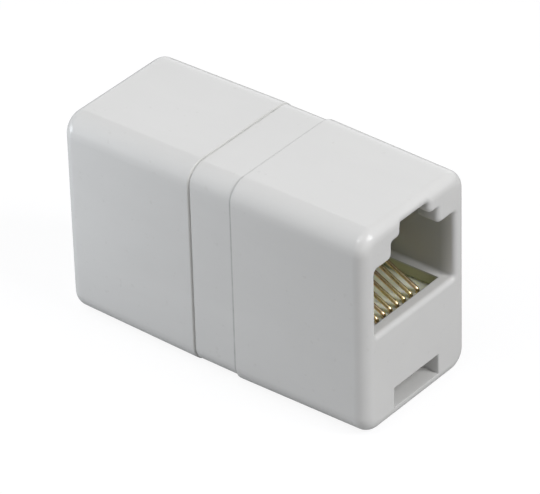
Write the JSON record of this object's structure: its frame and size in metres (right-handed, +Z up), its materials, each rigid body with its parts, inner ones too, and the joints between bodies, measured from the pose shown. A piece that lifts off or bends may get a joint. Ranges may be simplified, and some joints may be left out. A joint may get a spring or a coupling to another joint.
{
  "type": "inline coupler for modular plugs",
  "caption": "Inline coupler: a pale moulded box of two snapped shells, with a modular plug socket in each end joined contact to contact inside.",
  "frame": {"origin": "Middle of the underside: the bottom centre of the overall box.", "axes": "+X runs along the body and out of the front port, Y is the width, +Z is up, with the latch keyways of both ports at the top."},
  "size_m": [0.0354, 0.0158, 0.0221],
  "materials": {
    "shell_plastic": "moulded ABS, satin to semi-gloss, cool pale grey-white",
    "insert_plastic": "moulded PBT, matt, white with a faint green cast",
    "contact_gold": "phosphor bronze wire with a thin hard-gold plating, polished",
    "lead_blue": "blue PVC insulation, satin",
    "lead_orange": "orange PVC insulation, satin",
    "lead_black": "black PVC insulation, satin",
    "lead_red": "red PVC insulation, satin",
    "lead_green": "green PVC insulation, satin",
    "lead_yellow": "yellow PVC insulation, satin",
    "lead_brown": "brown PVC insulation, satin",
    "lead_white": "white PVC insulation, satin"
  },
  "bodies": {
    "root": {"front_shell": "shell_plastic", "rear_shell": "shell_plastic", "front_insert": "insert_plastic", "rear_insert": "insert_plastic", "front_contact_1": "contact_gold", "front_contact_2": "contact_gold", "front_contact_3": "contact_gold", "front_contact_4": "contact_gold", "front_contact_5": "contact_gold", "front_contact_6": "contact_gold", "front_contact_7": "contact_gold", "front_contact_8": "contact_gold", "rear_contact_1": "contact_gold", "rear_contact_2": "contact_gold", "rear_contact_3": "contact_gold", "rear_contact_4": "contact_gold", "rear_contact_5": "contact_gold", "rear_contact_6": "contact_gold", "rear_contact_7": "contact_gold", "rear_contact_8": "contact_gold", "lead_blue": "lead_blue", "lead_orange": "lead_orange", "lead_black": "lead_black", "lead_red": "lead_red", "lead_green": "lead_green", "lead_yellow": "lead_yellow", "lead_brown": "lead_brown", "lead_white": "lead_white"}
  },
  "joints": []
}
